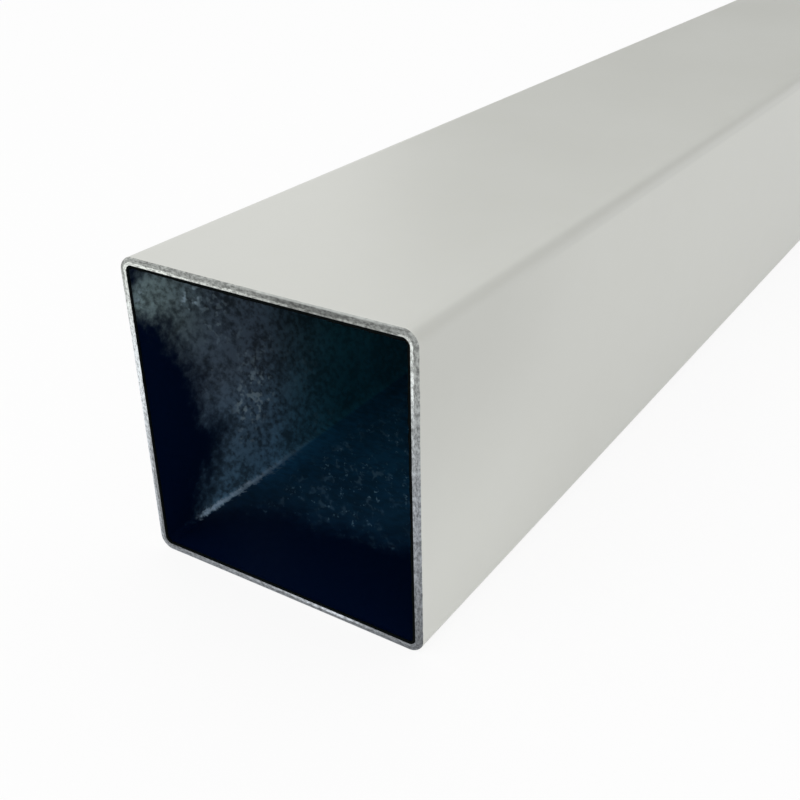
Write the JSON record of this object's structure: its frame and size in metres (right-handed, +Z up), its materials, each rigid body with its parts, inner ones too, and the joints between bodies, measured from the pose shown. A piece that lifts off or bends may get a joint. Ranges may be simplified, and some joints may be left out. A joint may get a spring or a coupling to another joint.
{
  "type": "square metal tube",
  "caption": "Thin-walled square steel tube with rounded bends and a smooth light coat, open and sawn square at both ends, for posts, rails and frames.",
  "frame": {"origin": "middle of the underside, half way along the tube", "axes": "+Y along the tube, +Z up, +X across it; the seam weld is inside the +X wall"},
  "size_m": [0.065, 1.8, 0.065],
  "materials": {
    "coated_steel": "smooth satin off-white powder coat outside, bare steel on the sawn ends and inside"
  },
  "bodies": {
    "root": {"tube": "coated_steel"}
  },
  "joints": []
}
